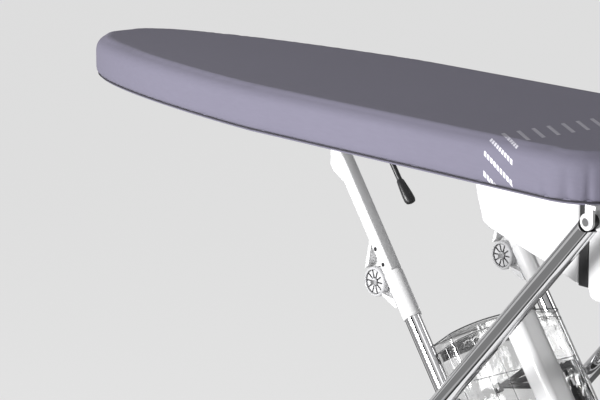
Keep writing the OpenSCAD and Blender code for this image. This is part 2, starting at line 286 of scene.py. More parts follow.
@dataclass(frozen=True)
class ClearPlastic(Finish):
    """Clear or smoked moulded plastic of the water tank."""

    tint: float = 0.995
    shine: float = 0.10
    mirror: float = 0.84

    def make(self, bench: Bench) -> bpy.types.Material:
        """Makes clear plastic that mirrors more towards its edges, with faint flow marks."""
        flow = bench.noise(bench.place(scale=(1, 1, 0.3)), 26.0)
        normal = bench.bump(flow, 0.5, 0.004)
        rim = bench.node("ShaderNodeLayerWeight", None, {"Blend": 0.42, "Normal": normal}, "Facing")
        inputs = {"Base Color": grey(self.mirror), "Metallic": 1.0, "Roughness": 0.02, "Normal": normal}
        gloss = bench.node("ShaderNodeBsdfPrincipled", None, inputs)
        clear = bench.node("ShaderNodeBsdfTransparent", None, {"Color": grey(self.tint)})
        share = (rim.op("POWER", 3.0) * 0.9 + self.shine).op("MINIMUM", 0.95)
        return bench.close(bench.node("ShaderNodeMixShader", None, {0: share, 1: clear, 2: gloss}))


@dataclass(frozen=True)
class CoverCloth(Finish):
    """Woven cotton cover with a row of plain printed dashes across it near the heel."""

    weave: float = 0.0011
    row: float = 0.481
    pitch: float = 0.030
    length: float = 0.070
    width: float = 0.0078
    slant: float = 0.62
    block: float = 0.0078

    def axes(self, bench: Bench) -> tuple[Wire, Wire, Wire]:
        """Returns the X, Y and Z of Object coordinates."""
        split = bench.node("ShaderNodeSeparateXYZ", None, {0: bench.place()})
        return tuple(Wire(bench, split.socket.node.outputs[i]) for i in range(3))

    def dashes(self, bench: Bench, top: float) -> Wire:
        """Returns 1 on the dashes, which keep their pitch where the cover turns down its near side.

        Args:
            bench: The material's bench.
            top: Height of the top of the cover.

        Returns:
            The mask of the print.
        """
        x, y, z = self.axes(bench)
        reach = (x - self.row) * (1 + self.slant ** 2) ** 0.5
        across = y + (z - top) + (x - self.row) * self.slant
        lane = ((across / self.pitch).op("FRACT") - 0.5).op("ABSOLUTE") * self.pitch
        inside = (lane < self.width / 2) * (reach > 0) * (reach < self.length)
        blocks = (reach / self.block).op("FRACT") < 0.72
        return inside * blocks * (z > top - 0.066)

    def make(self, bench: Bench) -> bpy.types.Material:
        """Makes cloth with warp and weft, slubs, soft fading and the print."""
        where = bench.place()
        x, y, z = self.axes(bench)
        turn = 2 * math.pi / self.weave
        cloth = (x * turn).op("SINE") * (y * turn).op("SINE") * 0.5 + (z * turn).op("SINE") * 0.2 + 0.5
        fade = bench.noise(where, 3.5)
        slub = bench.noise(bench.place(scale=(40, 260, 260)), 1.0, 2.0)
        base = bench.blend(fade, (0.142, 0.135, 0.180, 1), (0.162, 0.154, 0.204, 1))
        thread = bench.blend(slub * 0.35, base, (0.112, 0.106, 0.142, 1))
        worn = bench.noise(where, 420.0, 2.0)
        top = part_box("cover")[1].z
        side = ((top - z) / 0.02).op("MINIMUM", 1.0)
        ink = self.dashes(bench, top) * (worn * 0.3 + 0.35 + side * 0.45)
        return bench.finish(
            Base_Color=bench.blend(ink.op("MINIMUM", 1.0), thread, (0.66, 0.65, 0.70, 1)),
            Roughness=fade * 0.08 + 0.72,
            Normal=bench.bump(cloth + slub, 0.18, 0.0004),
            Specular_IOR_Level=0.15,
            Sheen_Weight=0.04,
            Sheen_Roughness=0.5,
        )


@dataclass(frozen=True)
class Foam(Finish):
    """Open-cell foam of the pad."""

    def make(self, bench: Bench) -> bpy.types.Material:
        """Makes pale foam with small open cells, darker in the pits of the cells as painted shade."""
        settings = {"feature": "SMOOTH_F1"}
        values = {"Vector": bench.place(), "Scale": 520.0}
        cells = bench.node("ShaderNodeTexVoronoi", settings, values, "Distance")
        return bench.finish(
            Base_Color=bench.blend(cells, (0.42, 0.40, 0.33, 1), (0.72, 0.70, 0.60, 1)),
            Roughness=0.95,
            Normal=bench.bump(cells, 0.6, 0.001),
        )


@dataclass(frozen=True)
class ThreadAndShadowLine(Finish):
    """Dark twisted thread for the drawcord and for the line below the hem that is painted shadow."""

    def make(self, bench: Bench) -> bpy.types.Material:
        """Makes dark twisted thread, a little darker in the grooves of the twist as painted shade."""
        values = {"Vector": bench.place(), "Scale": 240.0, "Distortion": 2.0}
        twist = bench.node("ShaderNodeTexWave", None, values, "Fac")
        return bench.finish(
            Base_Color=bench.blend(twist, (0.012, 0.011, 0.016, 1), (0.035, 0.032, 0.042, 1)),
            Roughness=0.8,
            Normal=bench.bump(twist, 0.5, 0.0006),
        )


JOINTS = {joint["name"]: joint for joint in frame["joints"]}
CROSS = Vector(JOINTS["scissor"]["pos_m"])
HINGE = Vector(JOINTS["leg_fold"]["pos_m"])
LIFT = Vector(JOINTS["tank_lift"]["axis"])
INNER_LEAN = math.atan2(-LIFT.x, LIFT.z)
OUTER_LEAN = math.atan2(HINGE.x - CROSS.x, HINGE.z - CROSS.z)
INNER_PLACE = Matrix.Translation(CROSS) @ Matrix.Rotation(-INNER_LEAN, 4, "Y")

CLOTH = CoverCloth("mauve_cotton", "cover_fabric")
PAD_FOAM = Foam("pad_foam", "foam")
# Dark thread for the drawcord and for the painted shadow line below the hem.
THREAD_AND_SHADOW_LINE = ThreadAndShadowLine("hem_cord_and_shadow_line", "black_plastic")
WHITE = Moulded("white_gloss_plastic", "white_plastic", (0.62, 0.62, 0.625), 0.30, 0.03, 700.0, 0.02, 0.2)
POWDER = Moulded("white_powder_coat", "white_metal", (0.62, 0.62, 0.625), 0.45, 0.20, 1400.0, 0.03)
WHEEL_GREY = Moulded("pale_wheel_plastic", "wheel_plastic", (0.46, 0.46, 0.47), 0.35, 0.05, 800.0, 0.04)
BLACK = Moulded("black_satin_plastic", "black_plastic", (0.012, 0.012, 0.013), 0.38, 0.12, 1500.0, 0.25)
BLACK_METAL = Moulded("black_lacquer", "black_metal", (0.010, 0.010, 0.011), 0.42, 0.03, 900.0, 0.2)
RUBBER = Moulded("dark_rubber", "rubber", (0.02, 0.02, 0.021), 0.65, 0.30, 1100.0, 0.2)
CHROME = Metal("chrome_plate", "chrome", (0.86, 0.86, 0.87), 0.035)
INNER_CHROME = Metal("inner_leg_chrome", "chrome", (0.84, 0.84, 0.85), 0.03, 0.004, INNER_LEAN)
OUTER_STEEL = Metal("outer_leg_steel", "brushed_steel", (0.66, 0.66, 0.67), 0.05, 0.012, -OUTER_LEAN)
STEEL = Metal("brushed_sheet", "brushed_steel", (0.52, 0.52, 0.53), 0.30, 0.15)
ALUMINIUM = Metal("plain_aluminium", "aluminium", (0.70, 0.70, 0.71), 0.32, 0.12)
# Dark smoked plastic for the tank rim and seam, also for the thin wall lines that are painted reflections.
RIM_AND_REFLECTION_DARK = Moulded("smoked_rim_and_reflection_lines", "clear_plastic", (0.055, 0.057, 0.06), 0.12, 0.02, 700.0, 0.3, 0.5)
SKIRT = ClearPlastic("smoked_lid_skirt", "clear_plastic", 0.45, 0.30, 0.55)
CLEAR = ClearPlastic("clear_tank_plastic", "clear_plastic")


def add_object(name: str, data: bpy.types.ID) -> bpy.types.Object:
    """Adds an object to the scene."""
    made = bpy.data.objects.new(name, data)
    bpy.context.scene.collection.objects.link(made)
    return made


def facing(direction: Vector) -> Matrix:
    """Returns the turn that points Z along a direction."""
    return direction.to_track_quat("Z", "Y").to_matrix().to_4x4()


def upright(edge: bmesh.types.BMEdge) -> bool:
    """Tells whether an edge is a tall corner."""
    return abs(edge.verts[0].co.z - edge.verts[1].co.z) > 0.1


def at_height(level: float) -> EdgeTest:
    """Returns a test for edges that lie at a height."""
    return lambda edge: all(abs(vert.co.z - level) < 1e-5 for vert in edge.verts)


class Shape:
    """A mesh that is built with bmesh operators and becomes one piece."""

    def __init__(self) -> None:
        self.bm = bmesh.new()

    def block(self, size: Point3, centre: Point3 = (0, 0, 0)) -> "Shape":
        """Adds a box.

        Args:
            size: Its size along X, Y and Z.
            centre: Its middle.

        Returns:
            This shape.
        """
        place = Matrix.Translation(centre) @ Matrix.Diagonal((*size, 1))
        bmesh.ops.create_cube(self.bm, size=1.0, matrix=place)
        return self

    def rod(self, radius: float, length: float, place: Matrix, radius_end: float | None = None,
            sides: int = 32) -> "Shape":
        """Adds a round bar along the placed Z axis, from its origin up."""
        end = radius if radius_end is None else radius_end
        shift = place @ Matrix.Translation((0, 0, length / 2))
        bmesh.ops.create_cone(self.bm, cap_ends=True, segments=sides, radius1=radius, radius2=end,
                              depth=length, matrix=shift)
        return self

    def prism(self, outline: Sequence[Point2], width: float, centre_y: float = 0.0) -> "Shape":
        """Adds a plate from an outline in X and Z, as wide as given along Y."""
        low = [self.bm.verts.new((x, centre_y - width / 2, z)) for x, z in outline]
        face = self.bm.faces.new(low)
        grown = bmesh.ops.extrude_face_region(self.bm, geom=[face])
        moved = [g for g in grown["geom"] if isinstance(g, bmesh.types.BMVert)]
        bmesh.ops.translate(self.bm, vec=(0, width, 0), verts=moved)
        bmesh.ops.recalc_face_normals(self.bm, faces=self.bm.faces[:])
        return self

    def lathe(self, profile: Sequence[Point2], place: Matrix, steps: int = 48) -> "Shape":
        """Adds a turned form; the profile gives radius and height.

        Args:
            profile: Points from one end to the other, as radius and height.
            place: Where the turned form's own axis goes.
            steps: Segments around.

        Returns:
            This shape.
        """
        verts = [self.bm.verts.new((r, 0, z)) for r, z in profile]
        edges = [self.bm.edges.new(pair) for pair in zip(verts, verts[1:])]
        bmesh.ops.spin(self.bm, geom=verts + edges, cent=(0, 0, 0), axis=(0, 0, 1), angle=2 * math.pi,
                       steps=steps, use_merge=True)
        fresh = [v for v in self.bm.verts if not v.tag]
        bmesh.ops.remove_doubles(self.bm, verts=fresh, dist=1e-6)
        fresh = [v for v in self.bm.verts if not v.tag]
        bmesh.ops.transform(self.bm, matrix=place, verts=fresh)
        faces = [f for f in self.bm.faces if all(not v.tag for v in f.verts)]
        bmesh.ops.recalc_face_normals(self.bm, faces=faces)
        return self.hold()

    def skin(self, rings: Iterable[Iterable[Point3]]) -> "Shape":
        """Adds closed rings of points and bridges each to the next."""
        loops = []
        for ring in rings:
            verts = [self.bm.verts.new(point) for point in ring]
            loops.append([self.bm.edges.new((verts[i - 1], verts[i])) for i in range(len(verts))])
        for lower, upper in zip(loops, loops[1:]):
            bmesh.ops.bridge_loops(self.bm, edges=lower + upper)
        bmesh.ops.recalc_face_normals(self.bm, faces=self.bm.faces[:])
        return self

    def hold(self) -> "Shape":
        """Marks all that is made so far, so later steps leave it alone."""
        for vert in self.bm.verts:
            vert.tag = True
        return self

    def bevel(self, offset: float, segments: int = 3, pick: EdgeTest | None = None) -> "Shape":
        """Rounds the sharp edges that are picked.

        Args:
            offset: Width of the rounding.
            segments: Steps across it.
            pick: Chooses edges; all sharp edges when it is left out.

        Returns:
            This shape.
        """
        sharp = [e for e in self.bm.edges if len(e.link_faces) == 2 and e.calc_face_angle(0) > 0.3]
        chosen = [e for e in sharp if pick is None or pick(e)]
        bmesh.ops.bevel(self.bm, geom=chosen, offset=offset, offset_type="OFFSET", segments=segments,
                        profile=0.5, affect="EDGES", material=-1, clamp_overlap=True)
        return self

    def cut(self, point: Point3, normal: Point3, clear: bool = False) -> "Shape":
        """Cuts along a plane; with clear, drops what lies behind it."""
        bmesh.ops.bisect_plane(self.bm, geom=self.bm.verts[:] + self.bm.edges[:] + self.bm.faces[:],
                               plane_co=point, plane_no=normal, clear_inner=clear)
        return self

    def move(self, matrix: Matrix) -> "Shape":
        """Moves the whole shape."""
        bmesh.ops.transform(self.bm, matrix=matrix, verts=self.bm.verts[:])
        return self

    def piece(self, name: str, finish: Finish) -> bpy.types.Object:
        """Turns the shape into an object with its finish, shaded smooth where it is round."""
        mesh = bpy.data.meshes.new(name)
        self.bm.to_mesh(mesh)
        self.bm.free()
        made = add_object(name, mesh)
        mesh.materials.append(finish.material())
        mesh.shade_smooth()
        mesh.set_sharp_from_angle(angle=math.radians(38))
        return made

    def keep(self, name: str, finish: Finish, body: Body, *nodes: str) -> bpy.types.Object:
        """Makes the shape a piece that rides on a body and replaces the named nodes."""
        return settle(self.piece(name, finish), body, finish.slot, *nodes)


def settle(made: bpy.types.Object, body: Body, slot: str, *nodes: str) -> bpy.types.Object:
    """Lets a piece ride on a body and stand for CAD nodes.

    Args:
        made: The piece.
        body: The body that it moves with.
        slot: The record's material slot; not used.
        nodes: CAD nodes that it replaces.

    Returns:
        The piece.
    """
    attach(made, body.value)
    if nodes:
        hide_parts(*nodes)
    LOG.info("piece %s rides on %s", made.name, body.value)
    return made


def add_modifier(made: bpy.types.Object, kind: str, **values: object) -> bpy.types.Modifier:
    """Adds a modifier and sets its values."""
    modifier = made.modifiers.new(kind.title(), kind)
    for key, value in values.items():
        setattr(modifier, key, value)
    return modifier


def apply_modifiers(made: bpy.types.Object) -> None:
    """Applies the piece's modifiers to its mesh."""
    graph = bpy.context.evaluated_depsgraph_get()
    baked = bpy.data.meshes.new_from_object(made.evaluated_get(graph))
    old = made.data
    made.modifiers.clear()
    made.data = baked
    bpy.data.meshes.remove(old)


def dress(finish: Finish, *nodes: str) -> None:
    """Gives CAD nodes a finish in place of their plain one."""
    for name in nodes:
        for slot in frame["nodes"][name].material_slots:
            slot.material = finish.material()


def sweep(name: str, path: Sequence[Vector], radius: float, finish: Finish,
          closed: bool = False) -> bpy.types.Object:
    """Makes a round bar or cord along a path as a mesh.

    Args:
        name: The piece's name.
        path: Points along its middle.
        radius: Its radius.
        finish: Its surface.
        closed: Whether it runs back to its start.

    Returns:
        The piece.
    """
    curve = bpy.data.curves.new(name, "CURVE")
    curve.dimensions = "3D"
    curve.bevel_depth = radius
    curve.bevel_resolution = 3
    curve.use_fill_caps = not closed
    spline = curve.splines.new("POLY")
    spline.points.add(len(path) - 1)
    for point, where in zip(spline.points, path):
        point.co = (*where, 1.0)
    spline.use_cyclic_u = closed
    holder = add_object(name + "_line", curve)
    mesh = bpy.data.meshes.new_from_object(holder)
    bpy.data.objects.remove(holder)
    made = add_object(name, mesh)
    mesh.materials.clear()
    mesh.materials.append(finish.material())
    mesh.shade_smooth()
    return made


@dataclass
class BoardTop:
    """Padded top: cover, foam, hem, tray, deck and rails."""

    shoulder: float = -0.060
    heel_radius: float = 0.100
    edge: float = 0.024
    voxel: float = 0.005
    steps: int = 110
    low: Vector = field(default_factory=lambda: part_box("cover")[0])
    high: Vector = field(default_factory=lambda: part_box("cover")[1])

    def half_width(self, x: float) -> float:
        """Returns half the width of the top at a distance along it."""
        nose, heel, half = self.low.x, self.high.x, self.high.y
        if x < self.shoulder:
            share = max(0.0, 1 - ((self.shoulder - x) / (self.shoulder - nose)) ** 1.2)
            return half * share ** 0.38
        if x < heel - self.heel_radius:
            return half
        reach = x - heel + self.heel_radius
        return half - self.heel_radius + math.sqrt(max(0.0, self.heel_radius ** 2 - reach ** 2))

    def outline(self, inset: float = 0.0) -> list[Point2]:
        """Returns the outline of the top, counter-clockwise, moved inwards.

        Args:
            inset: How far inside the outer edge it lies.

        Returns:
            Points in X and Y.
        """
        length = self.high.x - self.low.x
        side = []
        for i in range(self.steps + 1):
            x = self.low.x + length * (1 - math.cos(math.pi * i / self.steps)) / 2
            side.append(Vector((x, -self.half_width(x), 0)))
        ring = side + [Vector((p.x, -p.y, 0)) for p in reversed(side)]
        ring = [p for i, p in enumerate(ring) if (p - ring[i - 1]).length > 1e-5]
        moved = []
        for i, p in enumerate(ring):
            along = (ring[(i + 1) % len(ring)] - ring[i - 1]).normalized()
            moved.append((p.x - along.y * inset, p.y + along.x * inset))
        return moved

    def slab(self, z_low: float, z_high: float, inset: float, top_round: float, low_round: float) -> Shape:
        """Builds a solid with the outline of the top and rounded rims.

        Args:
            z_low: Height of its lower face.
            z_high: Height of its upper face.
            inset: How far inside the top's outline it stays.
            top_round: Rounding of its upper rim.
            low_round: Rounding of its lower rim.

        Returns:
            The solid.
        """
        shape = Shape()
        face = shape.bm.faces.new([shape.bm.verts.new((x, y, z_low)) for x, y in self.outline(inset)])
        grown = bmesh.ops.extrude_face_region(shape.bm, geom=[face])
        moved = [g for g in grown["geom"] if isinstance(g, bmesh.types.BMVert)]
        bmesh.ops.translate(shape.bm, vec=(0, 0, z_high - z_low), verts=moved)
        bmesh.ops.recalc_face_normals(shape.bm, faces=shape.bm.faces[:])
        shape.bevel(top_round, 7, at_height(z_high))
        return shape.bevel(low_round, 5, at_height(z_low))

    def swell(self, made: bpy.types.Object, cap: float) -> None:
        """Puffs a fabric body with cloth under pressure and limits how far it moves.

        Args:
            made: The closed mesh to puff.
            cap: The furthest that a point may move.
        """
        before = [(v.co.copy(), v.normal.copy()) for v in made.data.vertices]
        pad = add_modifier(made, "CLOTH")
        pad.settings.use_pressure = True
        pad.settings.uniform_pressure_force = 4.0
        pad.settings.quality = 4
        pad.settings.tension_stiffness = 18
        pad.settings.effector_weights.gravity = 0.0
        for number in range(1, 21):
            bpy.context.scene.frame_set(number)
        apply_modifiers(made)
        for vert, (start, normal) in zip(made.data.vertices, before):
            step = vert.co - start
            out = step.dot(normal)
            step = (step - normal * out) * 0.25 + normal * max(0.0, out)
            vert.co = start + step * min(1.0, cap / max(step.length, 1e-9))
        bpy.context.scene.frame_set(1)

    def pucker(self, made: bpy.types.Object, hem: float) -> None:
        """Draws gathers into the lower side, deeper round the heel corners.

        Args:
            made: The cover.
            hem: Height of its lower edge.
        """
        ring = self.outline()
        tree = kdtree.KDTree(len(ring))
        run = [0.0]
        for i, p in enumerate(ring):
            tree.insert((*p, 0), i)
            if i:
                run.append(run[-1] + math.dist(p, ring[i - 1]))
        tree.balance()
        corner = self.high.x - 1.6 * self.heel_radius
        for vert in made.data.vertices:
            rise = vert.co.z - hem
            if rise > 0.05:
                continue
            where, index, _ = tree.find((vert.co.x, vert.co.y, 0))
            if math.hypot(vert.co.x - where.x, vert.co.y - where.y) > 0.03:
                continue
            s = run[index]
            if 0 < index < len(ring) - 1:
                ahead = Vector((*ring[index + 1], 0)) - Vector((*ring[index], 0))
                s += (Vector((vert.co.x, vert.co.y, 0)) - where).dot(ahead.normalized())
            heel = min(1.0, max(0.0, (vert.co.x - corner) / 0.05))
            beat = s / (0.072 - 0.036 * heel) + 0.35 * math.sin(s * 23.0) + 0.2 * math.sin(s * 61.0)
            groove = math.exp(-((beat - round(beat)) * (11 - 4 * heel)) ** 2)
            reach = 0.012 + 0.022 * heel * (0.6 + 0.4 * math.sin(17 * round(beat)))
            depth = ((0.0014 + 0.0036 * heel) * groove - 0.0012 * heel) * math.exp(-max(0.0, rise) / reach)
            out = vert.normal.copy()
            out.z = 0
            vert.co -= out.normalized() * depth if out.length > 0.1 else Vector()

    def cover(self) -> bpy.types.Object:
        """Makes the padded cotton cover."""
        hem = self.low.z + 0.001
        shape = self.slab(hem - 0.0024, self.high.z - 0.002, 0.0018, self.edge, 0.010)
        made = shape.piece("cover_cloth", CLOTH)
        add_modifier(made, "REMESH", mode="VOXEL", voxel_size=self.voxel)
        apply_modifiers(made)
        self.swell(made, 0.005)
        for vert in made.data.vertices:
            vert.co.z = min(vert.co.z, self.high.z + 0.001)
        self.pucker(made, hem)
        trim = Shape()
        trim.bm.from_mesh(made.data)
        trim.cut((0, 0, hem), (0, 0, 1), clear=True)
        bmesh.ops.smooth_vert(trim.bm, verts=[v for v in trim.bm.verts if not v.is_boundary], factor=0.3,
                              use_axis_x=True, use_axis_y=True, use_axis_z=True)
        trim.bm.to_mesh(made.data)
        trim.bm.free()
        made.data.materials.clear()
        made.data.materials.append(CLOTH.material())
        made.data.shade_smooth()
        add_modifier(made, "SOLIDIFY", thickness=0.0014, offset=-1.0)
        settle(made, Body.BOARD, CLOTH.slot, "cover")
        return made

    def foam(self) -> None:
        """Makes the foam pad under the cover."""
        low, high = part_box("foam_pad")
        shape = self.slab(low.z, high.z - 0.003, 0.0095, self.edge - 0.004, 0.002)
        made = shape.keep("foam_body", PAD_FOAM, Body.BOARD, "foam_pad")

    def hem(self) -> None:
        """Makes the hem that turns under the tray, a dark cord peeking out below its edge as painted shadow,
        and the drawcord.
        """
        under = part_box("board_tray")[0].z
        low = self.low.z + 0.001
        rings = ((0.0066, low + 0.002), (0.0068, low - 0.0012), (0.0090, under - 0.0014),
                 (0.014, under - 0.0016), (0.025, under - 0.0016))
        waved = []
        for number, (inset, z) in enumerate(rings):
            wave = 0.0007 * max(0, number - 2)
            waved.append([(x, y, z - wave * (1 + math.sin(0.9 * i)) / 2)
                          for i, (x, y) in enumerate(self.outline(inset))])
        made = Shape().skin(waved).keep("cover_hem", CLOTH, Body.BOARD)
        add_modifier(made, "SOLIDIFY", thickness=0.0008, offset=0.0)
        # A dark cord just below the cover's edge paints the shadow where the cover turns under.
        edge = [Vector((x, y, low - 0.0016)) for x, y in self.outline(0.0060)]
        settle(sweep("hem_painted_shadow_line", edge, 0.0013, THREAD_AND_SHADOW_LINE, True), Body.BOARD, THREAD_AND_SHADOW_LINE.slot)
        cord = [Vector((x, y, under - 0.0042)) for x, y in self.outline(0.0265)]
        settle(sweep("hem_drawcord", cord, 0.0016, THREAD_AND_SHADOW_LINE, True), Body.BOARD, THREAD_AND_SHADOW_LINE.slot, "drawcord")

    def make(self) -> None:
        """Builds the top."""
        self.cover()
        self.foam()
        self.hem()
        dress(POWDER, "board_tray")
        dress(ALUMINIUM, "heater_plate")
        dress(STEEL, "deck", "rail_near", "rail_far")
        dress(BLACK, "cord_lock")
        dress(WHITE, "hinge_lug_near", "hinge_lug_far")
        dress(CHROME, "hinge_pins")


@dataclass
class BlowerCase:
    """Blower under the heel: white shells, black band, grille, motor and fan."""

    round: float = 0.005
    top: float = field(default_factory=lambda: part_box("blower_front")[1].z)

    def shells(self) -> None:
        """Makes the front shell, the centre band and the rear shell."""
        low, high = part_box("blower_front")
        width = high.y - low.y
        front = [(low.x, self.top), (low.x + 0.004, 0.742), (0.387, 0.698), (0.400, 0.691), (0.426, 0.684),
                 (0.520, 0.660), (high.x, low.z), (high.x, self.top)]
        shell = Shape().prism(front, width).bevel(self.round, 4)
        shell.keep("blower_front_shell", WHITE, Body.BOARD, "blower_front")
        low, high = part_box("blower_band")
        x0, x1 = low.x - 0.001, high.x + 0.001
        band = [(x0, self.top), (x0, low.z), (x1, low.z), (x1, self.top)]
        shell = Shape().prism(band, high.y - low.y).bevel(0.003, 3)
        shell.keep("blower_centre_band", BLACK, Body.BOARD, "blower_band")
        low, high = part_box("blower_rear")
        rear = [(low.x, self.top), (low.x, 0.640), (0.609, 0.626), (0.620, low.z), (0.650, 0.626),
                (0.680, 0.640), (high.x, 0.700), (high.x, self.top)]
        shape = Shape().prism(rear, width).bevel(self.round, 4)
        wall = max((f for f in shape.bm.faces if f.normal.x > 0.97), key=lambda f: f.calc_area())
        bmesh.ops.inset_region(shape.bm, faces=[wall], thickness=0.012, use_even_offset=True)
        shape.keep("blower_rear_shell", WHITE, Body.BOARD, "blower_rear")

    def grille(self) -> None:
        """Makes the intake grille with rounded slats in a frame."""
        low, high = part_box("intake_grille")
        mid_y, mid_z = (low.y + high.y) / 2, (low.z + high.z) / 2
        wide, tall = high.y - low.y, high.z - low.z
        shape = Shape()
        for s in (-1, 1):
            shape.block((0.004, wide, 0.005), (high.x, mid_y, mid_z + s * (tall - 0.005) / 2))
            shape.block((0.004, 0.005, tall), (high.x, mid_y + s * (wide - 0.005) / 2, mid_z))
        for i in range(9):
            z = low.z + 0.009 + i * (tall - 0.018) / 8
            shape.block((0.003, wide - 0.006, 0.0035), (high.x, mid_y, z))
        shape.bevel(0.0008, 2)
        shape.keep("intake_slats", BLACK, Body.BOARD, "intake_grille")

    def make(self) -> None:
        """Builds the blower."""
        self.shells()
        self.grille()
        dress(RUBBER, "blower_gasket")
        dress(BLACK, "fan_rotor", "mains_inlet")
        dress(STEEL, "fan_motor")


@dataclass
class HeightLever:
    """Bent black rod with a tapered grip."""

    rod_radius: float = 0.0042

    def make(self) -> None:
        """Builds the lever."""
        pin = Vector(JOINTS["height_lever"]["pos_m"])
        knee = Vector((0.216, pin.y, 0.737))
        end = Vector((0.226, pin.y, 0.725))
        path = [pin, pin.lerp(knee, 0.85), knee, knee.lerp(end, 0.5), end]
        rod = sweep("lever_bent_rod", path, self.rod_radius, BLACK_METAL)
        settle(rod, Body.LEVER, BLACK_METAL.slot, "lever_rod")
        grip_top, grip_end = Vector((0.2175, pin.y, 0.735)), Vector((0.2445, pin.y, 0.7035))
        length = (grip_end - grip_top).length
        place = Matrix.Translation(grip_top) @ facing(grip_end - grip_top) @ Matrix.Diagonal((1, 0.82, 1, 1))
        profile = ((0, 0), (0.0052, 0.0), (0.0062, 0.002), (0.0078, 0.014), (0.0092, 0.028),
                   (0.0094, length - 0.006), (0.0078, length - 0.0015), (0.004, length), (0, length))
        Shape().lathe(profile, place, 24).keep("lever_hand_grip", BLACK, Body.LEVER, "lever_grip")
        dress(STEEL, "lever_bracket")
        dress(CHROME, "lever_pin")


@dataclass
class OuterLegs:
    """Outer pair of tubes, hinged at the heel."""

    def make(self) -> None:
        """Dresses the outer legs."""
        dress(OUTER_STEEL, "b_tube_near", "b_tube_far")
        dress(STEEL, "b_brace", "b_foot_bar")
        dress(BLACK, "b_plug_near", "b_plug_far")
        dress(RUBBER, "b_foot_caps")
        dress(CHROME, "cross_bolts", "cross_nuts")


